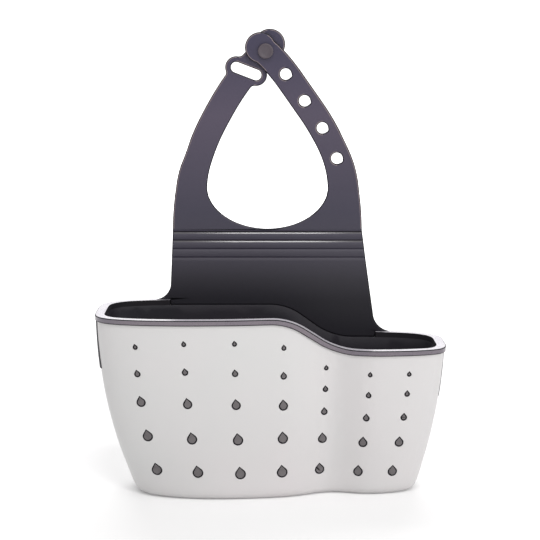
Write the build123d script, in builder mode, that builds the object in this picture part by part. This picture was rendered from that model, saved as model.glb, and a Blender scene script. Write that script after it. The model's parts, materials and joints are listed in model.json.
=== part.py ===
from build123d import *
from math import acos, asin, atan2, cos, degrees, exp, hypot, pi, radians, sin, sqrt, tan
import os

# A kitchen sink caddy: a hard draining basket with a soft liner, whose back panel rises into
# a loop that goes round a tap. Millimetres. +Z is up, -Y is the front, and the origin is on
# the base, under the middle of the rim.

# Plan of the hard shell's outer face at the rim
left_reach = 87.8
right_reach = 89.0
back_reach = 34.2
left_lobe_depth = 35.2
right_lobe_depth = 26.0
lobe_change_x = 3.0
lobe_change_length = 14.0
valley_x = 31.0
valley_depth = 7.0
valley_length = 14.0
rim_widest_y = -6.0

# How far each wall draws in from the rim to the base
left_tuck = 19.4
right_tuck = 15.0
front_tuck = 6.0
back_tuck = 4.0
base_widest_y = 0.0
tuck_power = 2.1

# How square the plan's corners are, as superellipse powers
rim_front_power = 4.2
base_front_power = 3.0
rim_back_power = 4.7
base_back_power = 3.6

# Heights of the rim, and its S-shaped step seen from the front
high_rim = 93.5
low_rim = 76.4
step_start_x = 9.4
step_end_x = 33.6
step_radius = 30.0

# Walls of the shell and the liner
shell_wall = 1.8
liner_wall = 1.8
wall_gap = 0.25
base_round = 4.0

# Lip over the shell's top edge
lip_height = 2.8
lip_proud = 1.0

# Side tabs, where the soft moulding comes through the shell's ends
tab_width = 24.0
tab_height = 24.6
tab_proud = 0.6
tab_gap = 0.15
left_tab_y = -6.0
right_tab_y = 8.0

# Drop-shaped holes in the shell's front: columns as shares of the shell's reach, and in each
# column the holes' heights as shares of the rim over it, from the top down
drop_column_shares = (-0.770, -0.492, -0.204, 0.076, 0.321, 0.573, 0.798)
drop_height_shares = (
    (0.850, 0.703, 0.547, 0.356, 0.164),
    (0.870, 0.717, 0.542, 0.347, 0.157),
    (0.870, 0.708, 0.534, 0.340, 0.149),
    (0.841, 0.687, 0.523, 0.340, 0.150),
    (0.833, 0.696, 0.549, 0.372, 0.169),
    (0.835, 0.695, 0.539, 0.368, 0.165),
    (0.836, 0.702, 0.541, 0.367, 0.164),
)
drop_radius = 2.75
high_drop_shares = (0.47, 0.60, 0.86, 0.96, 1.0)
low_drop_shares = (0.44, 0.53, 0.63, 0.84, 0.89)
drop_tip_share = 1.5
drop_lean = -5.0

# Drain holes through both floors
drain_radius = 2.5
drain_pitch_x = 22.0
drain_pitch_y = 16.0
drain_columns = 6
drain_rows = 2
drain_middle_y = 4.0

# Soft sheet that the panel, the ribs, the yoke and the straps share, with the places of its
# edges as shares of the shell's reach on that side
sheet = 2.4
hinge_gap = 0.3
fold_top_z = 129.3
fold_pitch = 4.5
fold_count = 4
panel_left_share = 0.603
panel_right_share = 0.625
yoke_left_share = 0.585
yoke_right_share = 0.541
flare_radius = 8.0

# Yoke, and the loop's opening above it
strap_hinge_z = 149.9
left_root_share = 0.569
right_root_share = 0.525
shoulder_share = 0.5
loop_middle_x = -1.5
loop_middle_z = 153.9
loop_width_share = 0.36
loop_half_height = 22.7

# Straps: their middle lines as shares of the foot's place across and of the strap's rise
strap_width = 14.5
strap_rise = 76.0
right_line_shares = (
    (0.967, 0.145), (0.899, 0.254), (0.800, 0.364), (0.682, 0.474),
    (0.539, 0.584), (0.387, 0.693), (0.201, 0.824), (-0.136, 1.0),
)
left_line_shares = (
    (0.965, 0.145), (0.900, 0.254), (0.827, 0.364), (0.733, 0.474),
    (0.624, 0.584), (0.503, 0.693), (0.305, 0.838),
)
root_fade_share = 0.3
strap_side_shares = (0, 0.1, 0.2, 0.3, 0.4, 0.5, 0.6, 0.7, 0.8, 0.9, 1)
straps_cross_z = 206.9
clasp_gap = 0.3

# Left strap's slotted ear, neck and end pad
slot_run = 11.1
slot_width = 5.5
slot_turn = -21.0
ear_border = 3.0
end_radius = 8.0
left_end_x = -0.3
left_end_z = 227.5
neck_width = 13.8
ear_hollow = 3.0
ear_root_share = 0.93
ear_root_length = 10.0
ear_root_inset = 0.15

# Snap stud on the left strap's end pad, and the snap holes of the right strap, whose places
# are shares of the strap's length
stud_x = -2.5
stud_z = 224.0
stud_neck_radius = 2.5
stud_head_radius = 4.0
stud_head_height = 2.0
stud_head_round = 1.3
stud_play = 0.3
snap_hole_radius = 2.95
snap_tip_share = 1.22
snap_tip_turn = -35.0
snap_hole_shares = (0.236, 0.427, 0.61, 0.794)

# Overrun of every cut, and how finely the plan's outline is worked out
overrun = 3.0
outline_points = 48
outline_steps = 720
round_shares = (0, 0.25, 0.5, 0.75)
level_shares = (0, 0.08, 0.2, 0.36, 0.56, 0.78, 1)

# Sizes that follow from these
cut_reach = left_reach + right_reach
panel_left_x = -left_reach * panel_left_share
panel_right_x = right_reach * panel_right_share
yoke_left_x = -left_reach * yoke_left_share
yoke_right_x = right_reach * yoke_right_share
left_root_x = -left_reach * left_root_share
right_root_x = right_reach * right_root_share
loop_half_width = (left_reach + right_reach) / 2 * loop_width_share
liner_grow = -(shell_wall + wall_gap)
cavity_grow = liner_grow - liner_wall
panel_front_y = back_reach + cavity_grow
panel_back_y = panel_front_y + sheet
sheet_middle_y = panel_front_y + sheet / 2
fold_bottom_z = fold_top_z - (fold_count - 1) * fold_pitch
step_slope = atan2(high_rim - low_rim, step_end_x - step_start_x)
strap_lean = asin((sheet + clasp_gap) / 2 / (straps_cross_z - strap_hinge_z))
loop_edge = loop_half_width * sqrt(1 - ((strap_hinge_z - loop_middle_z) / loop_half_height) ** 2)


def tuck(height, amount):
    """How far a wall has drawn in at a height, of its whole amount at the base."""
    return amount * (1 - min(height / high_rim, 1)) ** tuck_power


def between(height, base_value, rim_value):
    """A value that changes evenly from the base to the rim."""
    return base_value + (rim_value - base_value) * min(height / high_rim, 1)


def front_depth(x):
    """Depth of the shell's front at the rim: a deep left lobe, a valley and a right lobe."""
    change = 1 / (1 + exp((x - lobe_change_x) / lobe_change_length))
    valley = valley_depth * exp(-(((x - valley_x) / valley_length) ** 2))
    return right_lobe_depth + (left_lobe_depth - right_lobe_depth) * change - valley


def plan_point(angle, height):
    """A point of the shell's plan at a height, at an angle round a squared ellipse."""
    across, along = cos(angle), sin(angle)
    if along > 0:
        power = between(height, base_back_power, rim_back_power)
    else:
        power = between(height, base_front_power, rim_front_power)
    size = (abs(across) ** power + abs(along) ** power) ** (-1 / power)
    left = left_reach - tuck(height, left_tuck)
    right = right_reach - tuck(height, right_tuck)
    widest_y = between(height, base_widest_y, rim_widest_y)
    x = (right - left) / 2 + (right + left) / 2 * size * across
    if along > 0:
        depth = back_reach - tuck(height, back_tuck) - widest_y
    else:
        depth = front_depth(x) - tuck(height, front_tuck) + widest_y
    return x, widest_y + depth * size * along


def outline(height, grow):
    """Evenly spaced points round the plan at a height, with its walls moved out by grow."""
    turns = [pi / 2 + 2 * pi * step / outline_steps for step in range(outline_steps)]
    plan = [plan_point(turn, height) for turn in turns]
    moved = []
    for step, (x, y) in enumerate(plan):
        x_before, y_before = plan[step - 1]
        x_after, y_after = plan[(step + 1) % outline_steps]
        run_x, run_y = x_after - x_before, y_after - y_before
        run = hypot(run_x, run_y)
        moved.append((x + grow * run_y / run, y - grow * run_x / run))
    lengths = [0]
    for step, (x, y) in enumerate(moved):
        x_after, y_after = moved[(step + 1) % outline_steps]
        lengths.append(lengths[-1] + hypot(x_after - x, y_after - y))
    spaced = []
    step = 0
    for number in range(outline_points):
        place = lengths[-1] * number / outline_points
        while lengths[step + 1] < place:
            step += 1
        share = (place - lengths[step]) / (lengths[step + 1] - lengths[step])
        x, y = moved[step]
        x_after, y_after = moved[(step + 1) % outline_steps]
        spaced.append((x + (x_after - x) * share, y + (y_after - y) * share))
    return spaced


def basket_form(grow, floor, bottom_round):
    """The basket's whole outside at one depth of its walls, standing on a floor height."""
    levels = []
    if bottom_round > 0:
        for share in round_shares:
            drawn_in = bottom_round * (1 - sin(share * pi / 2))
            levels.append((floor + bottom_round * (1 - cos(share * pi / 2)), grow - drawn_in))
    wall_foot = floor + bottom_round
    for share in level_shares:
        levels.append((wall_foot + (high_rim - wall_foot) * share, grow))
    levels.append((high_rim + overrun, grow))
    even_shares = [number / outline_points for number in range(outline_points + 1)]
    with BuildPart() as form:
        for height, level_grow in levels:
            with BuildSketch(Plane.XY.offset(height)):
                with BuildLine():
                    points = [Vector(x, y) for x, y in outline(height, level_grow)]
                    add(Edge.make_spline(points, periodic=True, parameters=even_shares))
                make_face()
        loft()
    return form.part


def rim_side(drop, edge_z):
    """Cuts what lies between the rim's side view, lowered by drop, and a level edge."""
    shift = drop * tan(step_slope / 2)
    with BuildSketch(Plane.XZ) as side_view:
        with BuildLine():
            rim = FilletPolyline(
                (-cut_reach, high_rim - drop),
                (step_start_x - shift, high_rim - drop),
                (step_end_x - shift, low_rim - drop),
                (cut_reach, low_rim - drop),
                radius=(step_radius - drop, step_radius + drop),
            )
            Polyline(rim @ 1, (cut_reach, edge_z), (-cut_reach, edge_z), rim @ 0)
        make_face()
    extrude(side_view.sketch, amount=cut_reach, both=True, mode=Mode.SUBTRACT)


def cut_above_rim(drop):
    """Takes away all that stands above the rim, lowered by drop."""
    rim_side(drop, high_rim + 2 * overrun)


def cut_below_rim(drop):
    """Takes away all that hangs below the rim, lowered by drop."""
    rim_side(drop, -overrun)


def rim_height(x):
    """Height of the rim over a place across, with its step's corners left sharp."""
    share = (x - step_start_x) / (step_end_x - step_start_x)
    return high_rim - (high_rim - low_rim) * min(max(share, 0), 1)


def add_drop(x, y, radius, turn, tip_share, mode=Mode.ADD):
    """A water drop in a sketch: a circle drawn out to a tip, turned from upright by turn."""
    touch = acos(1 / tip_share)

    def spot(distance, angle):
        return (x + distance * sin(turn + angle), y + distance * cos(turn + angle))

    with BuildLine() as drop:
        Polyline(spot(radius, -touch), spot(radius * tip_share, 0), spot(radius, touch))
        ThreePointArc(spot(radius, touch), spot(radius, pi), spot(radius, -touch))
    make_face(drop.edges(), mode=mode)


def cut_drains():
    """Drills the drain holes through a floor."""
    with BuildSketch(Plane.XY.offset(-overrun)) as drains:
        with Locations((0, drain_middle_y)):
            with GridLocations(drain_pitch_x, drain_pitch_y, drain_columns, drain_rows):
                Circle(drain_radius)
    extrude(drains.sketch, amount=base_round + 2 * overrun, mode=Mode.SUBTRACT)


def tab_block(side, grow, mode):
    """The block of space that a side tab, or with grow its window, takes from the shell."""
    rim_z = high_rim if side < 0 else low_rim
    reach = left_reach if side < 0 else right_reach
    middle_y = left_tab_y if side < 0 else right_tab_y
    bottom = rim_z - lip_height - tab_height - grow
    top = rim_z + overrun
    with Locations((side * reach, middle_y, (bottom + top) / 2)):
        Box(reach, tab_width + 2 * grow, top - bottom, mode=mode)


# The basket's forms, from the lip's outside to the lip's inside
lip_outside = basket_form(lip_proud, 0, 0)
tab_outside = basket_form(tab_proud, 0, 0)
shell_outside = basket_form(0, 0, base_round)
shell_inside = basket_form(-shell_wall, shell_wall, base_round - shell_wall)
liner_outside = basket_form(liner_grow, shell_wall, base_round - shell_wall - wall_gap)
liner_inside = basket_form(cavity_grow, shell_wall + liner_wall, liner_wall)
lip_inside = basket_form(cavity_grow, 0, 0)

# Hard outer shell, with the drops, the windows of the side tabs and the drains
with BuildPart() as outer_shell:
    add(shell_outside)
    add(shell_inside, mode=Mode.SUBTRACT)
    cut_above_rim(lip_height)
    with BuildSketch(Plane.XZ):
        for column, share in enumerate(drop_column_shares):
            side_reach = left_reach if share < 0 else right_reach
            side_tuck = left_tuck if share < 0 else right_tuck
            rim_z = rim_height(share * side_reach)
            size_shares = high_drop_shares if rim_z == high_rim else low_drop_shares
            places = []
            for height_share in drop_height_shares[column]:
                z = rim_z * height_share
                places.append((share * (side_reach - tuck(z, side_tuck)), z))
            column_run_x = places[0][0] - places[-1][0]
            column_run_z = places[0][1] - places[-1][1]
            drop_turn = atan2(column_run_x, column_run_z) + radians(drop_lean)
            for (x, z), size_share in zip(places, size_shares):
                add_drop(x, z, drop_radius * size_share, drop_turn, drop_tip_share)
    extrude(amount=left_lobe_depth + overrun, mode=Mode.SUBTRACT)
    for side in (-1, 1):
        tab_block(side, tab_gap, Mode.SUBTRACT)
    cut_drains()
outer_shell.part.label = "outer_shell"

# Soft liner cup inside the shell, standing on its floor
with BuildPart() as liner_cup:
    add(liner_outside)
    add(liner_inside, mode=Mode.SUBTRACT)
    cut_above_rim(lip_height)
    cut_drains()
liner_cup.part.label = "liner_cup"

# Lip over the shell's top edge, open along the inside of the back for the panel
with BuildPart() as rim_lip:
    add(lip_outside)
    add(lip_inside, mode=Mode.SUBTRACT)
    cut_above_rim(0)
    cut_below_rim(lip_height)
    with BuildSketch(Plane.XY):
        with Locations(((panel_left_x + panel_right_x) / 2, panel_back_y / 2)):
            Rectangle(panel_right_x - panel_left_x, panel_back_y)
    extrude(amount=high_rim + overrun, mode=Mode.SUBTRACT)
rim_lip.part.label = "rim_lip"

# Side tabs in the shell's windows
side_tabs = []
for side, name in ((-1, "side_tab_left"), (1, "side_tab_right")):
    with BuildPart() as side_tab:
        add(tab_outside)
        add(liner_outside, mode=Mode.SUBTRACT)
        cut_above_rim(lip_height)
        tab_block(side, 0, Mode.INTERSECT)
    side_tab.part.label = name
    side_tabs.append(side_tab)


def edge_x(height, low_x, low_z, high_x):
    """Place across of the panel's slanting edge at a height, on its way up to the yoke."""
    return low_x + (high_x - low_x) * (height - low_z) / (fold_top_z - low_z)


def left_edge_x(height):
    """Left edge of the panel and of the ribs at a height."""
    return edge_x(height, panel_left_x, high_rim, yoke_left_x)


def right_edge_x(height):
    """Right edge of the panel and of the ribs at a height."""
    return edge_x(height, panel_right_x, low_rim, yoke_right_x)


def add_flare(foot_x, top_x, foot_z, way):
    """The hollow curve that widens the panel's foot on one side, drawn in a sketch."""
    centre_x, centre_z = foot_x + way * flare_radius, foot_z + flare_radius
    reach = flare_radius * cos(pi / 4)
    with BuildLine() as flare:
        Polyline(
            (centre_x, foot_z),
            (foot_x - way * flare_radius, foot_z),
            (foot_x - way * flare_radius, centre_z),
            (top_x, centre_z),
        )
        ThreePointArc(
            (top_x, centre_z),
            (centre_x - way * reach, centre_z - reach),
            (centre_x, foot_z),
        )
    make_face(flare.edges())


def keep_rounded_sheet(bottom, top, plane):
    """Keeps of the part what lies in one sheet with a full round along each end."""
    with BuildSketch(plane) as section_view:
        with Locations((0, (bottom + top) / 2)):
            SlotOverall(top - bottom, sheet, rotation=90)
    extrude(section_view.sketch, amount=cut_reach, both=True, mode=Mode.INTERSECT)


sheet_front = Plane.XZ.offset(-sheet_middle_y)
sheet_side = Plane(origin=(0, sheet_middle_y, 0), x_dir=(0, -1, 0), z_dir=(-1, 0, 0))

# Back panel, standing on the liner's back wall, with a flare down to the rim on each side
panel_top_z = fold_bottom_z - hinge_gap / 2
with BuildPart() as back_panel:
    with BuildSketch(sheet_front):
        with BuildLine():
            Polyline(
                (panel_left_x, 0),
                (panel_left_x, high_rim),
                (left_edge_x(panel_top_z), panel_top_z),
                (right_edge_x(panel_top_z), panel_top_z),
                (panel_right_x, low_rim),
                (panel_right_x, 0),
                close=True,
            )
        make_face()
        add_flare(panel_left_x, left_edge_x(high_rim + flare_radius), high_rim, -1)
        add_flare(panel_right_x, right_edge_x(low_rim + flare_radius), low_rim, 1)
    extrude(amount=sheet / 2, both=True)
    cut_below_rim(lip_height)
    keep_rounded_sheet(-overrun, panel_top_z, sheet_side)
back_panel.part.label = "back_panel"

# Flat ribs between the moulded fold grooves
fold_ribs = []
for number in range(fold_count - 1):
    low_z = fold_bottom_z + number * fold_pitch + hinge_gap / 2
    high_z = low_z + fold_pitch - hinge_gap
    middle_z = (low_z + high_z) / 2
    left_x, right_x = left_edge_x(middle_z), right_edge_x(middle_z)
    with BuildPart() as fold_rib:
        with BuildSketch(sheet_front):
            with Locations(((left_x + right_x) / 2, middle_z)):
                Rectangle(right_x - left_x, high_z - low_z)
        extrude(amount=sheet / 2, both=True)
        keep_rounded_sheet(low_z, high_z, sheet_side)
    fold_rib.part.label = f"fold_rib_{number + 1}"
    fold_ribs.append(fold_rib)

# Yoke above the grooves, with the bottom of the loop's opening
yoke_low_z = fold_top_z + hinge_gap / 2
yoke_high_z = strap_hinge_z - hinge_gap / 2
with BuildPart() as strap_yoke:
    with BuildSketch(sheet_front):
        with BuildLine():
            shoulder_z = fold_top_z + (strap_hinge_z - fold_top_z) * shoulder_share
            shoulder_drift = (1 - shoulder_share) / 2
            left_side = ThreePointArc(
                (yoke_left_x, fold_top_z),
                (yoke_left_x + (left_root_x - yoke_left_x) * shoulder_drift, shoulder_z),
                (left_root_x, strap_hinge_z),
            )
            right_side = ThreePointArc(
                (right_root_x, strap_hinge_z),
                (yoke_right_x + (right_root_x - yoke_right_x) * shoulder_drift, shoulder_z),
                (yoke_right_x, fold_top_z),
            )
            Line(left_side @ 1, right_side @ 0)
            Line(right_side @ 1, left_side @ 0)
        make_face()
        with Locations((loop_middle_x, loop_middle_z)):
            Ellipse(loop_half_width, loop_half_height, mode=Mode.SUBTRACT)
    extrude(amount=sheet / 2, both=True)
    keep_rounded_sheet(yoke_low_z, yoke_high_z, sheet_side)
strap_yoke.part.label = "strap_yoke"


def leaning_front(lean):
    """Plane of a strap that leans forward by lean, with its origin on the hinge line."""
    front = (0, -cos(lean), -sin(lean))
    return Plane(origin=(0, sheet_middle_y, strap_hinge_z), x_dir=(1, 0, 0), z_dir=front)


def leaning_side(lean):
    """The same strap's plane seen from its side."""
    front = (0, -cos(lean), -sin(lean))
    return Plane(origin=(0, sheet_middle_y, strap_hinge_z), x_dir=front, z_dir=(-1, 0, 0))


def strap_middle(foot_x, line_shares):
    """Middle line of a strap in its own plane, from just below the hinge line upwards."""
    points = [(foot_x, -overrun), (foot_x, 0)]
    points += [(foot_x * across, strap_rise * up) for across, up in line_shares]
    return Spline(*points)


def add_ribbon(middle, root_width):
    """A strap's outline: even in width, but for a wider root."""
    left_points, right_points = [], []
    for share in strap_side_shares:
        spot, run = middle @ share, middle % share
        widening = (root_width - strap_width) * max(0, 1 - share / root_fade_share)
        half = (strap_width + widening) / 2
        left_points.append((spot.X - run.Y * half, spot.Y + run.X * half))
        right_points.append((spot.X + run.Y * half, spot.Y - run.X * half))
    with BuildLine() as ribbon:
        left_side = Spline(*left_points)
        right_side = Spline(*right_points)
        Line(left_side @ 0, right_side @ 0)
        Line(left_side @ 1, right_side @ 1)
    make_face(ribbon.edges())


# Left strap, behind the right one, with its slotted ear, neck and end pad
left_inner_x = loop_middle_x - loop_edge
left_middle = strap_middle((left_root_x + left_inner_x) / 2, left_line_shares)
slot_spot = left_middle @ 1
ear_root, ear_root_run = left_middle @ ear_root_share, left_middle % ear_root_share
end_height = left_end_z - strap_hinge_z
neck_run_x = left_end_x - slot_spot.X
neck_run_z = end_height - slot_spot.Y
with BuildPart() as left_strap:
    with BuildSketch(leaning_front(-strap_lean)):
        with Locations((slot_spot.X, slot_spot.Y)):
            SlotCenterToCenter(slot_run, slot_width + 2 * ear_border, rotation=slot_turn)
        with Locations((slot_spot.X + neck_run_x / 2, slot_spot.Y + neck_run_z / 2)):
            neck_turn = degrees(atan2(neck_run_z, neck_run_x))
            Rectangle(hypot(neck_run_x, neck_run_z), neck_width, rotation=neck_turn)
        with Locations((left_end_x, end_height)):
            Circle(end_radius)
        with Locations((ear_root.X, ear_root.Y)):
            root_turn = degrees(atan2(ear_root_run.Y, ear_root_run.X))
            Rectangle(ear_root_length, strap_width - 2 * ear_root_inset, rotation=root_turn)
        offset(amount=ear_hollow, kind=Kind.ARC, mode=Mode.REPLACE)
        offset(amount=-ear_hollow, kind=Kind.ARC, mode=Mode.REPLACE)
        add_ribbon(left_middle, left_inner_x - left_root_x)
        with Locations((slot_spot.X, slot_spot.Y)):
            SlotCenterToCenter(slot_run, slot_width, rotation=slot_turn, mode=Mode.SUBTRACT)
    extrude(amount=sheet / 2, both=True)
    keep_rounded_sheet(hinge_gap / 2, strap_rise + 2 * end_radius, leaning_side(-strap_lean))
left_strap.part.label = "left_strap"

# Snap stud, moulded on the left strap's end pad: its neck passes the end hole of the right
# strap, and its head holds that strap on
stud_height = stud_z - strap_hinge_z
strap_spread = 2 * stud_height * sin(strap_lean)
head_seat = strap_spread + sheet / 2 + stud_play
with BuildPart() as snap_stud:
    with BuildSketch(leaning_front(-strap_lean).offset(sheet / 2)):
        with Locations((stud_x, stud_height)):
            Circle(stud_neck_radius)
    extrude(amount=head_seat - sheet / 2)
    with BuildSketch(leaning_front(-strap_lean).offset(head_seat)):
        with Locations((stud_x, stud_height)):
            Circle(stud_head_radius)
    extrude(amount=stud_head_height)
    fillet(snap_stud.edges().sort_by(Axis.Y)[0], stud_head_round)
snap_stud.part.label = "snap_stud"

# Right strap, in front, with its row of snap holes and the end one over the stud
right_inner_x = loop_middle_x + loop_edge
right_middle = strap_middle((right_root_x + right_inner_x) / 2, right_line_shares)
with BuildPart() as right_strap:
    with BuildSketch(leaning_front(strap_lean)):
        add_ribbon(right_middle, right_root_x - right_inner_x)
        with Locations(right_middle @ 1):
            Circle(end_radius)
        for share in snap_hole_shares:
            spot, run = right_middle @ share, right_middle % share
            turn = atan2(-run.X, -run.Y) + radians(snap_tip_turn)
            add_drop(spot.X, spot.Y, snap_hole_radius, turn, snap_tip_share, Mode.SUBTRACT)
        add_drop(stud_x, stud_height, snap_hole_radius, 0, snap_tip_share, Mode.SUBTRACT)
    extrude(amount=sheet / 2, both=True)
    keep_rounded_sheet(hinge_gap / 2, strap_rise + 2 * end_radius, leaning_side(strap_lean))
right_strap.part.label = "right_strap"

os.makedirs("parts", exist_ok=True)
pieces = [outer_shell, liner_cup, rim_lip, *side_tabs, back_panel, *fold_ribs]
pieces += [strap_yoke, left_strap, snap_stud, right_strap]
for piece in pieces:
    export_step(piece.part, f"parts/{piece.part.label}.step")
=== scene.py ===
import json
from math import cos, pi, radians, sin

import bpy
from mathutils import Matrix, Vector

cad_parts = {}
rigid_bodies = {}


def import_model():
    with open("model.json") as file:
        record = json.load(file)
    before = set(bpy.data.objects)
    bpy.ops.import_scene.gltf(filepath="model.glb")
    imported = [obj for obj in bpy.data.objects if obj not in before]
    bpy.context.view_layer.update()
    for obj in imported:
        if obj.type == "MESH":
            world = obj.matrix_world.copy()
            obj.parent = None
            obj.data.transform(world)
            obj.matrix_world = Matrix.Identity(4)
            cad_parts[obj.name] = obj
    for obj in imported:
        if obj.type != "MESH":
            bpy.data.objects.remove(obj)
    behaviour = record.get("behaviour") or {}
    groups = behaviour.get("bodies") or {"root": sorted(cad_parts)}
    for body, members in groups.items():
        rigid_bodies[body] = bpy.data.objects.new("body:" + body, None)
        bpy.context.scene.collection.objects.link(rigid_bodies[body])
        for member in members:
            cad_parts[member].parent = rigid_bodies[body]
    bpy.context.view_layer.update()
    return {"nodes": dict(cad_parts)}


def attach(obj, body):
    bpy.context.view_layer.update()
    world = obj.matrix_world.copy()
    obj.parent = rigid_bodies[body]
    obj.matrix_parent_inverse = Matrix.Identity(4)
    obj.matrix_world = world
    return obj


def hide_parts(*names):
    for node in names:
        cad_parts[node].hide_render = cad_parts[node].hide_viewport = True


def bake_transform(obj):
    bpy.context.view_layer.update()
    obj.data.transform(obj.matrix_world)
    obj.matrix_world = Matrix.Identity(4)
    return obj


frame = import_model()

# Outer shell: one hard moulding in satin light grey-white polypropylene, with rows of drops
# cut through its front and drain holes in its floor. The mould leaves every edge a little
# round, and gives the skin a very fine grain.
shell_edge_round = 0.00022
shell_colour = (0.66, 0.635, 0.638)
shell_colour_cool = (0.625, 0.625, 0.62)
shell_roughness = (0.40, 0.50)
shell_cloud, shell_grain, shell_grain_depth = 9, 1500, 0.000012
merge_distance = 0.000002


def make_active(piece):
    """Deselects everything, and makes a piece the only one that operators act on."""
    bpy.ops.object.select_all(action='DESELECT')
    bpy.context.view_layer.objects.active = piece
    piece.select_set(True)


def copy_of_node(node, name):
    """A CAD node's solid as a new piece, with its loose triangles merged."""
    piece = bpy.data.objects.new(name, frame["nodes"][node].data.copy())
    bpy.context.scene.collection.objects.link(piece)
    make_active(piece)
    bpy.ops.mesh.customdata_custom_splitnormals_clear()
    bpy.ops.object.mode_set(mode='EDIT')
    bpy.ops.mesh.select_all(action='SELECT')
    bpy.ops.mesh.remove_doubles(threshold=merge_distance)
    bpy.ops.object.mode_set(mode='OBJECT')
    piece.data.materials.clear()
    return piece


def round_edges(piece, width, segments, least_angle=40, clamp=True):
    """Rounds a piece's sharp edges, and shades it smooth but for what stays sharp."""
    make_active(piece)
    bevel = piece.modifiers.new("edge round", 'BEVEL')
    bevel.width = width
    bevel.segments = segments
    bevel.limit_method = 'ANGLE'
    bevel.angle_limit = radians(least_angle)
    bevel.miter_outer = 'MITER_ARC'
    bevel.use_clamp_overlap = clamp
    bpy.ops.object.modifier_apply(modifier=bevel.name)
    bpy.ops.object.shade_smooth_by_angle(angle=radians(least_angle))


def even_shading(piece):
    """Lets a piece's broad faces set its shading, so that they stay even up to their edges."""
    make_active(piece)
    evened = piece.modifiers.new("even shading", 'WEIGHTED_NORMAL')
    evened.keep_sharp = True
    bpy.ops.object.modifier_apply(modifier=evened.name)


def ranged(tree, source, source_range, result_range=(0, 1)):
    """Maps a node's output from one range of values to another."""
    node = tree.nodes.new("ShaderNodeMapRange")
    node.inputs["From Min"].default_value, node.inputs["From Max"].default_value = source_range
    node.inputs["To Min"].default_value, node.inputs["To Max"].default_value = result_range
    tree.links.new(source, node.inputs["Value"])
    return node.outputs["Result"]


def moulded(name, colours, roughness, cloud, grain, grain_depth, **sockets):
    """A moulded plastic: two near colours in soft clouds, uneven gloss and a fine grain."""
    material = bpy.data.materials.new(name)
    material.use_nodes = True
    tree = material.node_tree
    shader = tree.nodes["Principled BSDF"]
    place = tree.nodes.new("ShaderNodeTexCoord")
    clouds = tree.nodes.new("ShaderNodeTexNoise")
    clouds.inputs["Scale"].default_value = cloud
    clouds.inputs["Detail"].default_value = 3
    tree.links.new(place.outputs["Object"], clouds.inputs["Vector"])
    tint = tree.nodes.new("ShaderNodeValToRGB")
    tint.color_ramp.elements[0].position = 0.35
    tint.color_ramp.elements[0].color = (*colours[0], 1)
    tint.color_ramp.elements[1].position = 0.65
    tint.color_ramp.elements[1].color = (*colours[1], 1)
    tree.links.new(clouds.outputs["Fac"], tint.inputs["Fac"])
    tree.links.new(tint.outputs["Color"], shader.inputs["Base Color"])
    speckle = tree.nodes.new("ShaderNodeTexNoise")
    speckle.inputs["Scale"].default_value = grain
    speckle.inputs["Detail"].default_value = 4
    tree.links.new(place.outputs["Object"], speckle.inputs["Vector"])
    gloss = ranged(tree, speckle.outputs["Fac"], (0.3, 0.7), roughness)
    tree.links.new(gloss, shader.inputs["Roughness"])
    bump = tree.nodes.new("ShaderNodeBump")
    bump.inputs["Distance"].default_value = grain_depth
    bump.inputs["Strength"].default_value = 1
    tree.links.new(speckle.outputs["Fac"], bump.inputs["Height"])
    tree.links.new(bump.outputs["Normal"], shader.inputs["Normal"])
    for socket, value in sockets.items():
        shader.inputs[socket.replace("_", " ")].default_value = value
    return material


shell = copy_of_node("outer_shell", "shell")
round_edges(shell, shell_edge_round, 2)
even_shading(shell)
polypropylene = moulded("grey_polypropylene", (shell_colour_cool, shell_colour),
                        shell_roughness, shell_cloud, shell_grain, shell_grain_depth)
shell.data.materials.append(polypropylene)
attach(shell, "basket")
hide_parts("outer_shell")

# Liner: the soft dark rubber cup inside the shell, seen through the drops and from above. It
# is moulded in one with the lip, the back and the straps, and its skin is matt and smooth.
soft_colour = (0.030, 0.028, 0.037)
soft_colour_warm = (0.035, 0.030, 0.039)
soft_roughness = (0.38, 0.48)
soft_cloud, small_cloud = 25, 60
soft_grain, soft_grain_depth = 1800, 0.000010
liner_edge_round = 0.0002


def rubber(name, colours, roughness=soft_roughness, cloud=soft_cloud,
           grain_depth=soft_grain_depth, **sockets):
    """A rubber of the soft moulding: all of them have the same size of grain."""
    return moulded(name, colours, roughness, cloud, soft_grain, grain_depth, **sockets)


# Painted darker than the rest of this same rubber: painted shade inside the basket.
liner_painted_shade_rubber = rubber("liner_painted_shade_rubber", ((0.022, 0.021, 0.027), (0.026, 0.023, 0.030)),
                      Specular_IOR_Level=0.2)
liner = copy_of_node("liner_cup", "liner")
round_edges(liner, liner_edge_round, 2)
liner.data.materials.append(liner_painted_shade_rubber)
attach(liner, "basket")
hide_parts("liner_cup")

# Drop fills: the liner's rubber fills each drop of the shell's front from behind and stops
# just short of the shell's face. Each fill's face is painted a lighter grey than the liner as
# painted light, and the near-black ring round it is painted shadow in the gap.
fill_recess = 0.0007
fill_play = 0.00002
fill_shadow_ring = 0.00060
fill_step = 0.00012
same_place, least_drop_depth = 0.00001, 0.0005
high_side_end_x, high_drops_top_z, low_drops_top_z = 0.0095, 0.086, 0.070
drops_end_x, drops_foot_z, wall_tilt = 0.076, 0.006, 0.02


def in_drop_wall(middle, normal):
    """Whether a face of the shell is on the wall of a drop, which runs straight back.

    It also takes three slivers of the shell's end walls, which stay as stray faces.
    """
    top_z = high_drops_top_z if middle.x < high_side_end_x else low_drops_top_z
    among_drops = abs(middle.x) < drops_end_x and drops_foot_z < middle.z < top_z
    return abs(normal.y) < wall_tilt and middle.y < 0 and among_drops


def select_faces(piece, wanted):
    """Selects, in edit mode, the faces of a piece whose middle and normal are wanted."""
    bpy.ops.object.mode_set(mode='EDIT')
    bpy.ops.mesh.select_mode(type='FACE')
    bpy.ops.mesh.select_all(action='DESELECT')
    bpy.ops.object.mode_set(mode='OBJECT')
    for face in piece.data.polygons:
        face.select = wanted(face.center, face.normal)
    bpy.ops.object.mode_set(mode='EDIT')


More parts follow.
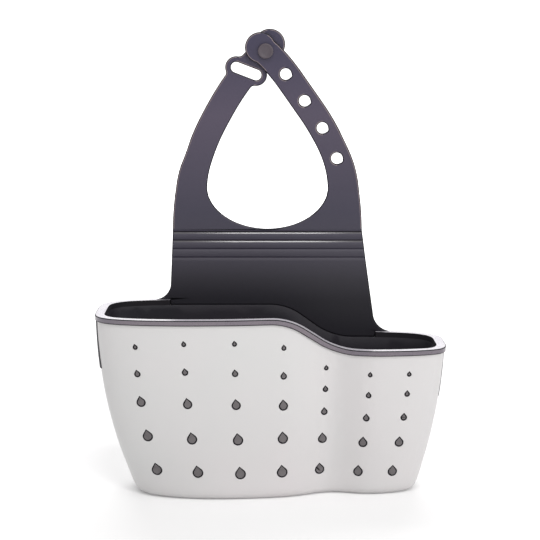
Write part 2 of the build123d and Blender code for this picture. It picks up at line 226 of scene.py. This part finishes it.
fills = copy_of_node("outer_shell", "drop_fills")
select_faces(fills, lambda middle, normal: not in_drop_wall(middle, normal))
bpy.ops.mesh.delete(type='FACE')
bpy.ops.object.mode_set(mode='OBJECT')
points = fills.data.vertices
for point in points:
    point.select = any(abs(point.co.x - other.co.x) < same_place
                       and abs(point.co.z - other.co.z) < same_place
                       and point.co.y < other.co.y - least_drop_depth for other in points)
bpy.ops.object.mode_set(mode='EDIT')
bpy.ops.mesh.select_mode(type='VERT')
bpy.ops.transform.translate(value=(0, fill_recess, 0))
bpy.ops.mesh.select_all(action='SELECT')
bpy.ops.mesh.fill_holes(sides=0)
bpy.ops.mesh.normals_make_consistent(inside=False)
bpy.ops.transform.shrink_fatten(value=-fill_play)
bpy.ops.mesh.dissolve_degenerate(threshold=0.00003)
bpy.ops.object.mode_set(mode='OBJECT')
# Near-black rubber: painted shade in the gaps, edges and groove flanks where it is used.
painted_shade_rubber = rubber("painted_shade_rubber", ((0.012, 0.011, 0.014), (0.016, 0.014, 0.018)),
                       (0.6, 0.7), small_cloud, Specular_IOR_Level=0.15)
# Lighter grey than the liner's own: painted light on each fill's face.
fill_painted_light_rubber = rubber("fill_painted_light_rubber", ((0.120, 0.109, 0.113), (0.135, 0.122, 0.126)),
                     cloud=small_cloud)
fills.data.materials.append(painted_shade_rubber)
fills.data.materials.append(fill_painted_light_rubber)
# The ring left by the first inset keeps the painted shadow; the middle takes the painted light.
select_faces(fills, lambda middle, normal: normal.y < -0.3)
bpy.ops.mesh.inset(thickness=fill_shadow_ring, use_even_offset=False)
bpy.ops.mesh.inset(thickness=fill_step, depth=fill_step, use_even_offset=False)
fills.active_material_index = 1
bpy.ops.object.material_slot_assign()
bpy.ops.object.mode_set(mode='OBJECT')
bpy.ops.object.shade_smooth_by_angle(angle=radians(35))
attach(fills, "basket")

# Lip: the bead of the same rubber that is folded over the shell's top edge and hides it. It
# is a little proud of the shell, with a well rounded top that the mould leaves glossier. Its
# top is painted pale as a painted highlight and its outer band lighter as a painted sheen;
# its other faces and the band's rounded edges take the near-black painted shade.
lip_edge_round = 0.00045
lip_roughness, lip_grain_depth = (0.25, 0.34), 0.000006
# The band's lighter and the top's pale colours are a painted sheen and a painted highlight.
lip_band_painted_sheen = rubber("lip_band_painted_sheen", ((0.150, 0.132, 0.160), (0.175, 0.150, 0.172)), lip_roughness,
                  small_cloud, lip_grain_depth)
lip_top_painted_highlight = rubber("lip_top_painted_highlight", ((0.52, 0.50, 0.55), (0.58, 0.56, 0.60)), lip_roughness,
                 small_cloud, lip_grain_depth)
lip = copy_of_node("rim_lip", "lip")
for lip_rubber in (painted_shade_rubber, lip_band_painted_sheen, lip_top_painted_highlight):
    lip.data.materials.append(lip_rubber)
band, top = 1, 2
for face in lip.data.polygons:
    outward = face.normal.x * face.center.x + face.normal.y * face.center.y
    if face.normal.z > 0.6:
        face.material_index = top
    elif abs(face.normal.z) < 0.2 and outward > 0:
        face.material_index = band
band_edges = {edge for face in lip.data.polygons if face.material_index == band
              for edge in face.edge_keys}
plain_edges = {edge for face in lip.data.polygons if face.material_index != band
               for edge in face.edge_keys}
select_faces(lip, lambda middle, normal: False)
bpy.ops.mesh.select_mode(type='EDGE')
bpy.ops.object.mode_set(mode='OBJECT')
for edge in lip.data.edges:
    edge.select = edge.key in band_edges and edge.key in plain_edges
bpy.ops.object.mode_set(mode='EDIT')
# The band's rounded edges take slot 0, the painted shade, as dark lines above and below it.
bpy.ops.mesh.bevel(offset=lip_edge_round, segments=3, profile=0.5, material=0, clamp_overlap=False)
bpy.ops.object.mode_set(mode='OBJECT')
bpy.ops.object.shade_smooth_by_angle(angle=radians(40))
even_shading(lip)
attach(lip, "basket")
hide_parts("rim_lip")

# Side tabs: where the rubber comes through a window in each end of the shell, so that the
# fingers grip it. Each stands a little proud of the shell.
tab_edge_round = 0.0003
soft_rubber = rubber("soft_rubber", (soft_colour, soft_colour_warm))
for side in ("left", "right"):
    tab = copy_of_node("side_tab_" + side, "grip_" + side)
    round_edges(tab, tab_edge_round, 2)
    tab.data.materials.append(soft_rubber)
    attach(tab, "basket")
    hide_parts("side_tab_" + side)

# Soft back: one flat rubber moulding from the lip up to the two straps. It is made whole
# first: panel, yoke and straps are trimmed where the CAD parts them and bridged, then its
# edges are rounded and the four fold grooves are pressed into both of its faces.
def node_span(node, axis):
    """The least and the greatest coordinate of a CAD node along an axis."""
    places = [point.co[axis] for point in frame["nodes"][node].data.vertices]
    return min(places), max(places)


sheet_front_y, sheet_back_y = node_span("fold_rib_1", 1)
sheet_middle_y = (sheet_front_y + sheet_back_y) / 2
stack = ("back_panel", "fold_rib_1", "fold_rib_2", "fold_rib_3", "strap_yoke", "left_strap")
gaps = [(node_span(low, 2)[1] + node_span(high, 2)[0]) / 2 for low, high in zip(stack, stack[1:])]
fold_heights, strap_hinge_z = gaps[:4], gaps[4]
trim = 0.0014
half_gap = 0.00015
back_edge_round = 0.0008
loop_middle_x = -0.0015


def cut_across(z, clear_above=False, clear_below=False, fill=False):
    """Cuts all that is in edit mode with a level plane, and clears one side if asked."""
    bpy.ops.mesh.select_all(action='SELECT')
    bpy.ops.mesh.bisect(plane_co=(0, 0, z), plane_no=(0, 0, 1), use_fill=fill,
                        clear_outer=clear_above, clear_inner=clear_below, threshold=0.0000001)


trims = {
    "back_panel": (None, fold_heights[0] - half_gap - trim),
    "strap_yoke": (fold_heights[3] + half_gap + trim, strap_hinge_z - half_gap - trim),
    "left_strap": (strap_hinge_z + half_gap + trim, None),
    "right_strap": (strap_hinge_z + half_gap + trim, None),
}
blanks = []
for node, (low_z, high_z) in trims.items():
    blank = copy_of_node(node, node + "_blank")
    bpy.ops.object.mode_set(mode='EDIT')
    bpy.ops.mesh.select_all(action='SELECT')
    bpy.ops.mesh.dissolve_limited(angle_limit=radians(0.6))
    if low_z:
        cut_across(low_z, clear_below=True)
    if high_z:
        cut_across(high_z, clear_above=True)
    bpy.ops.object.mode_set(mode='OBJECT')
    blanks.append(blank)

bpy.ops.object.select_all(action='DESELECT')
for blank in blanks:
    blank.select_set(True)
soft_back = blanks[0]
bpy.context.view_layer.objects.active = soft_back
bpy.ops.object.join()
soft_back.name = "soft_back"


def bridge_between(low_z, high_z, low_x, high_x):
    """Bridges the two open ends that lie between two heights, in a range across."""
    bpy.ops.object.mode_set(mode='EDIT')
    bpy.ops.mesh.select_mode(type='EDGE')
    bpy.ops.mesh.select_all(action='DESELECT')
    bpy.ops.mesh.select_non_manifold(extend=False, use_wire=False, use_multi_face=False,
                                     use_non_contiguous=False, use_verts=False)
    bpy.ops.object.mode_set(mode='OBJECT')
    points = soft_back.data.vertices
    for edge in soft_back.data.edges:
        middle = (points[edge.vertices[0]].co + points[edge.vertices[1]].co) / 2
        inside = low_z < middle.z < high_z and low_x < middle.x < high_x
        edge.select = edge.select and inside
    bpy.ops.object.mode_set(mode='EDIT')
    bpy.ops.mesh.bridge_edge_loops()
    bpy.ops.object.mode_set(mode='OBJECT')


below_folds_z, above_folds_z = 0.110, 0.134
below_roots_z, above_roots_z = 0.146, 0.154
beyond_x = 0.1
bridge_between(below_folds_z, above_folds_z, -beyond_x, beyond_x)
bridge_between(below_roots_z, above_roots_z, -beyond_x, 0)
bridge_between(below_roots_z, above_roots_z, 0, beyond_x)
round_edges(soft_back, back_edge_round, 4, 50, clamp=False)

make_active(soft_back)
bpy.ops.object.mode_set(mode='EDIT')
fold_depths = (0.5, 0.6, 1.0, 1.0)
# Each point is the height above a groove's middle, and the share of the thickness kept there.
fold_profile = ((-0.0020, 1.0), (-0.0011, 0.93), (-0.0007, 0.74), (-0.0003, 0.52), (0, 0.42),
                (0.0001, 0.42), (0.0006, 0.84), (0.0010, 0.92), (0.0020, 1.0))
for fold_z, depth in zip(fold_heights, fold_depths):
    for rise, _ in fold_profile:
        cut_across(fold_z + rise)
    for rise, full_keep in fold_profile[1:-1]:
        ring_z = fold_z + rise
        keep = 1 - depth * (1 - full_keep)
        bpy.ops.object.mode_set(mode='OBJECT')
        for edge in soft_back.data.edges:
            edge.select = False
        for face in soft_back.data.polygons:
            face.select = False
        for point in soft_back.data.vertices:
            point.select = abs(point.co.z - ring_z) < same_place
        bpy.ops.object.mode_set(mode='EDIT')
        bpy.ops.mesh.select_mode(type='VERT')
        bpy.ops.transform.resize(value=(1, keep, 1), center_override=(0, sheet_middle_y, ring_z))
bend_low_z, bend_high_z, bend_cuts = 0.143, 0.157, 8
for cut in range(bend_cuts):
    cut_across(bend_low_z + (bend_high_z - bend_low_z) * cut / (bend_cuts - 1))
bpy.ops.object.mode_set(mode='OBJECT')
bpy.ops.object.shade_smooth_by_angle(angle=radians(28))
# Colour painted by height: painted shade darkest by the lip, a painted sheen lightest on the
# straps.
painted_light_rubber = rubber("painted_light_rubber", (soft_colour, soft_colour_warm))
tree = painted_light_rubber.node_tree
split = tree.nodes.new("ShaderNodeSeparateXYZ")
tree.links.new(tree.nodes["Texture Coordinate"].outputs["Object"], split.inputs["Vector"])
painted_light_low_z, painted_light_high_z = 0.09, 0.23
painted_light_ramp = tree.nodes.new("ShaderNodeValToRGB")
painted_light_stops = ((0.092, (0.016, 0.015, 0.020)), (0.104, (0.022, 0.020, 0.028)),
                 (0.116, (0.034, 0.030, 0.046)), (0.140, (0.030, 0.026, 0.048)),
                 (0.190, (0.060, 0.047, 0.078)), (0.226, (0.028, 0.023, 0.054)))
while len(painted_light_ramp.color_ramp.elements) < len(painted_light_stops):
    painted_light_ramp.color_ramp.elements.new(0.5)
for stop, (height, colour) in zip(painted_light_ramp.color_ramp.elements, painted_light_stops):
    stop.position = (height - painted_light_low_z) / (painted_light_high_z - painted_light_low_z)
    stop.color = (*colour, 1)
tree.links.new(ranged(tree, split.outputs["Z"], (painted_light_low_z, painted_light_high_z)),
               painted_light_ramp.inputs["Fac"])
tree.links.new(painted_light_ramp.outputs["Color"], tree.nodes["Principled BSDF"].inputs["Base Color"])
shine = ranged(tree, split.outputs["Z"], (0.094, 0.118), (0.2, 0.42))
tree.links.new(shine, tree.nodes["Principled BSDF"].inputs["Specular IOR Level"])
soft_back.data.materials.append(painted_light_rubber)
polished_rubber = rubber("polished_rubber", (soft_colour, soft_colour_warm),
                         grain_depth=0.000002)
tree = polished_rubber.node_tree
split = tree.nodes.new("ShaderNodeSeparateXYZ")
tree.links.new(tree.nodes["Texture Coordinate"].outputs["Object"], split.inputs["Vector"])
reach = tree.nodes.new("ShaderNodeMath")
reach.operation = 'ABSOLUTE'
tree.links.new(split.outputs["X"], reach.inputs[0])
dull = ranged(tree, reach.outputs["Value"], (0.022, 0.044), (0.12, 0.42))
tree.links.new(dull, tree.nodes["Principled BSDF"].inputs["Roughness"])
# Brownish-pink rubber: a painted highlight along the outer rounded edges above the folds.
edge_painted_highlight_rubber = rubber("edge_painted_highlight_rubber", ((0.20, 0.155, 0.165), (0.23, 0.18, 0.19)))
for line_rubber in (polished_rubber, painted_shade_rubber, edge_painted_highlight_rubber):
    soft_back.data.materials.append(line_rubber)
polished, painted_shade_slot, painted_highlight_slot = 1, 2, 3
fold_reach, fold_line_reach = 0.002, 0.0008
outline_low_z, foot_high_z = 0.131, 0.139
# Upper groove flanks and rounded edges get painted shade; the edges' front step a painted
# highlight.
for face in soft_back.data.polygons:
    middle, normal = face.center, face.normal
    outward = normal.x * (middle.x - loop_middle_x) > 0
    in_folds = fold_heights[0] - fold_reach < middle.z < fold_heights[3] + fold_reach
    on_loop_foot = (0.008 < abs(middle.x - loop_middle_x) < 0.032
                    and outline_low_z < middle.z < foot_high_z)
    in_top_fold = any(abs(middle.z - fold_z) < fold_line_reach for fold_z in fold_heights[2:])
    if normal.y < 0 and in_folds and abs(normal.x) < 0.2:
        if in_top_fold and normal.z > 0.12:
            face.material_index = polished
        elif in_top_fold and normal.z < -0.3:
            face.material_index = painted_shade_slot
    elif -0.99 < normal.y < -0.9 and outward and middle.z > outline_low_z:
        face.material_index = painted_highlight_slot
    elif on_loop_foot and normal.z > 0.12 and -0.9 < normal.y < -0.3:
        face.material_index = polished
    elif -0.9 < normal.y < 0.5:
        face.material_index = painted_shade_slot

# The soft back bends at its grooves and along the roots of its straps, so it is cut into parts
# there, each part holding one hinge and meeting the next where neither bends.
mid_ribs = [(low + high) / 2 for low, high in zip(fold_heights, fold_heights[1:])]
mid_yoke_z = 0.141
fold_bend, strap_bend = 0.0015, 0.007
back_parts = (
    ("back_sheet", None, mid_ribs[0], 0,
     ("basket", "rib_1", fold_heights[0], fold_bend), ("back_panel",)),
    ("fold_low", mid_ribs[0], mid_ribs[1], 0,
     ("rib_1", "rib_2", fold_heights[1], fold_bend), ("fold_rib_1",)),
    ("fold_middle", mid_ribs[1], mid_ribs[2], 0,
     ("rib_2", "rib_3", fold_heights[2], fold_bend), ("fold_rib_2",)),
    ("yoke_sheet", mid_ribs[2], mid_yoke_z, 0,
     ("rib_3", "yoke", fold_heights[3], fold_bend), ("fold_rib_3", "strap_yoke")),
    ("strap_slotted", mid_yoke_z, None, -1,
     ("yoke", "left_loop", strap_hinge_z, strap_bend), ("left_strap",)),
    ("strap_snapped", mid_yoke_z, None, 1,
     ("yoke", "right_loop", strap_hinge_z, strap_bend), ("right_strap",)),
)
for name, low_z, high_z, side, (lower, upper, hinge_z, half_bend), nodes in back_parts:
    part = bpy.data.objects.new(name, soft_back.data.copy())
    bpy.context.scene.collection.objects.link(part)
    make_active(part)
    bpy.ops.object.mode_set(mode='EDIT')
    if low_z:
        cut_across(low_z, clear_below=True, fill=True)
    if high_z:
        cut_across(high_z, clear_above=True, fill=True)
    if side:
        bpy.ops.mesh.select_all(action='DESELECT')
        bpy.ops.object.mode_set(mode='OBJECT')
        lowest = min((p for p in part.data.vertices if p.co.x * side > 0), key=lambda p: p.co.z)
        lowest.select = True
        bpy.ops.object.mode_set(mode='EDIT')
        bpy.ops.mesh.select_linked()
        bpy.ops.mesh.select_all(action='INVERT')
        bpy.ops.mesh.delete(type='VERT')
    bpy.ops.object.mode_set(mode='OBJECT')
    bpy.ops.object.shade_smooth_by_angle(angle=radians(28))
    even_shading(part)
    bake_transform(part)
    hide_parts(*nodes)
bpy.data.objects.remove(soft_back)

# Snap stud: a flat button on a short neck, moulded on the left strap's end. It holds the
# right strap's end hole, and the mould leaves its face slightly dished.
strap_lean = radians(1.357)
stud_up = 0.0741
stud_base = Vector((-0.0025, sheet_middle_y + stud_up * sin(strap_lean),
                    strap_hinge_z + stud_up * cos(strap_lean)))
stud_way = Vector((0, -cos(strap_lean), sin(strap_lean)))
stud_head_radius, stud_head_height = 0.004, 0.002
stud_neck_radius, stud_seat, stud_neck_sink = 0.0025, 0.005005, 0.0012
stud_edge_round = 0.0004
dish_border, dish_slope, dish_depth = 0.0009, 0.0005, 0.00022
dish_floor, dish_floor_sag = 0.0010, 0.00005
head_middle = stud_base + stud_way * (stud_seat + stud_head_height / 2)
bpy.ops.object.select_all(action='DESELECT')
bpy.ops.mesh.primitive_cylinder_add(vertices=64, radius=stud_head_radius,
                                    depth=stud_head_height, location=head_middle,
                                    rotation=(pi / 2 - strap_lean, 0, 0))
stud = bpy.context.object
stud.name = "stud"
bpy.ops.object.transform_apply(location=True, rotation=True, scale=True)
select_faces(stud, lambda middle, normal: normal.dot(stud_way) < -0.9)
bpy.ops.mesh.inset(thickness=stud_head_radius - stud_neck_radius)
neck_run = stud_way * -(stud_seat - stud_neck_sink)
bpy.ops.mesh.extrude_region_move(TRANSFORM_OT_translate={"value": neck_run})
select_faces(stud, lambda middle, normal: normal.dot(stud_way) > 0.9)
bpy.ops.mesh.inset(thickness=dish_border)
bpy.ops.mesh.inset(thickness=dish_slope, depth=-dish_depth)
bpy.ops.mesh.inset(thickness=dish_floor, depth=-dish_floor_sag)
bpy.ops.object.mode_set(mode='OBJECT')
round_edges(stud, stud_edge_round, 3, 50)
stud_rubber = rubber("stud_rubber", ((0.056, 0.043, 0.055), (0.064, 0.048, 0.060)),
                     cloud=small_cloud)
stud.data.materials.append(stud_rubber)
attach(stud, "left_loop")
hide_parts("snap_stud")

# Floor and surroundings: a plain pale sweep that keeps a faint shadow. For the camera and for
# reflections alone it glows, a little near the caddy and fully further off, to render white.
def seen_directly(tree):
    """A value that is 1 for camera and glossy rays, and 0 for the light on the caddy."""
    path = tree.nodes.new("ShaderNodeLightPath")
    seen = tree.nodes.new("ShaderNodeMath")
    seen.operation = 'MAXIMUM'
    tree.links.new(path.outputs["Is Camera Ray"], seen.inputs[0])
    tree.links.new(path.outputs["Is Glossy Ray"], seen.inputs[1])
    return seen.outputs["Value"]


bpy.ops.object.select_all(action='DESELECT')
bpy.ops.mesh.primitive_plane_add(size=60, location=(0, 0, 0))
floor = bpy.context.object
floor.name = "floor"
floor_white = bpy.data.materials.new("floor_white")
floor_white.use_nodes = True
tree = floor_white.node_tree
tree.nodes.remove(tree.nodes["Principled BSDF"])
paper = tree.nodes.new("ShaderNodeBsdfDiffuse")
paper.inputs["Color"].default_value = (0.86, 0.86, 0.86, 1)
glow = tree.nodes.new("ShaderNodeEmission")
place = tree.nodes.new("ShaderNodeTexCoord")
run = tree.nodes.new("ShaderNodeVectorMath")
run.operation = 'LENGTH'
tree.links.new(place.outputs["Object"], run.inputs[0])
near_to_far, near_to_far_glow = (0.25, 1.0), (0.14, 1.0)
lift = tree.nodes.new("ShaderNodeMath")
lift.operation = 'MULTIPLY'
tree.links.new(seen_directly(tree), lift.inputs[0])
tree.links.new(ranged(tree, run.outputs["Value"], near_to_far, near_to_far_glow), lift.inputs[1])
tree.links.new(lift.outputs["Value"], glow.inputs["Strength"])
both = tree.nodes.new("ShaderNodeAddShader")
tree.links.new(paper.outputs["BSDF"], both.inputs[0])
tree.links.new(glow.outputs["Emission"], both.inputs[1])
tree.links.new(both.outputs["Shader"], tree.nodes["Material Output"].inputs["Surface"])
floor.data.materials.append(floor_white)

world = bpy.data.worlds.new("studio")
bpy.context.scene.world = world
world.use_nodes = True
tree = world.node_tree
background = tree.nodes["Background"]
background.inputs["Color"].default_value = (1, 1, 1, 1)
strength = ranged(tree, seen_directly(tree), (0, 1), (0.55, 1.0))
tree.links.new(strength, background.inputs["Strength"])

# Studio lamps: a small key and a broad soft box from above the front, a faint fill from the
# left, a stronger one from the right, and a large lamp from above the back.
lamp_target = Vector((0, 0, 0.11))
lamps = (
    ("key", (0.05, -0.75, 1.15), 0.28, 3.7, (1.0, 0.985, 0.985)),
    ("soft_box", (0.45, -1.5, 0.8), 1.0, 6.0, (1.0, 0.985, 0.985)),
    ("fill_left", (-1.3, -0.5, 0.6), 0.9, 0.2, (0.96, 0.99, 1.0)),
    ("fill_right", (1.3, -0.6, 0.6), 0.9, 4.5, (1.0, 0.98, 0.98)),
    ("back_light", (0, 1.5, 1.3), 1.4, 22.0, (1.0, 0.99, 1.0)),
)
for name, place, size, power, colour in lamps:
    bpy.ops.object.light_add(type='AREA', location=place)
    lamp = bpy.context.object
    lamp.name = name
    lamp.data.size = size
    lamp.data.energy = power
    lamp.data.color = colour
    aim = lamp_target - Vector(place)
    lamp.rotation_euler = aim.to_track_quat('-Z', 'Y').to_euler()

# Camera: at the photograph's place, a metre off and a little above the top of the straps.
camera_place, camera_dip = (-0.0002, -1.0, 0.262), 8.43
camera_sensor, camera_lens = 36, 131.8
bpy.ops.object.camera_add(location=camera_place, rotation=(radians(90 - camera_dip), 0, 0))
camera = bpy.context.object
camera.data.sensor_width = camera_sensor
camera.data.lens = camera_lens
bpy.context.scene.camera = camera
bpy.context.scene.view_settings.view_transform = 'Standard'
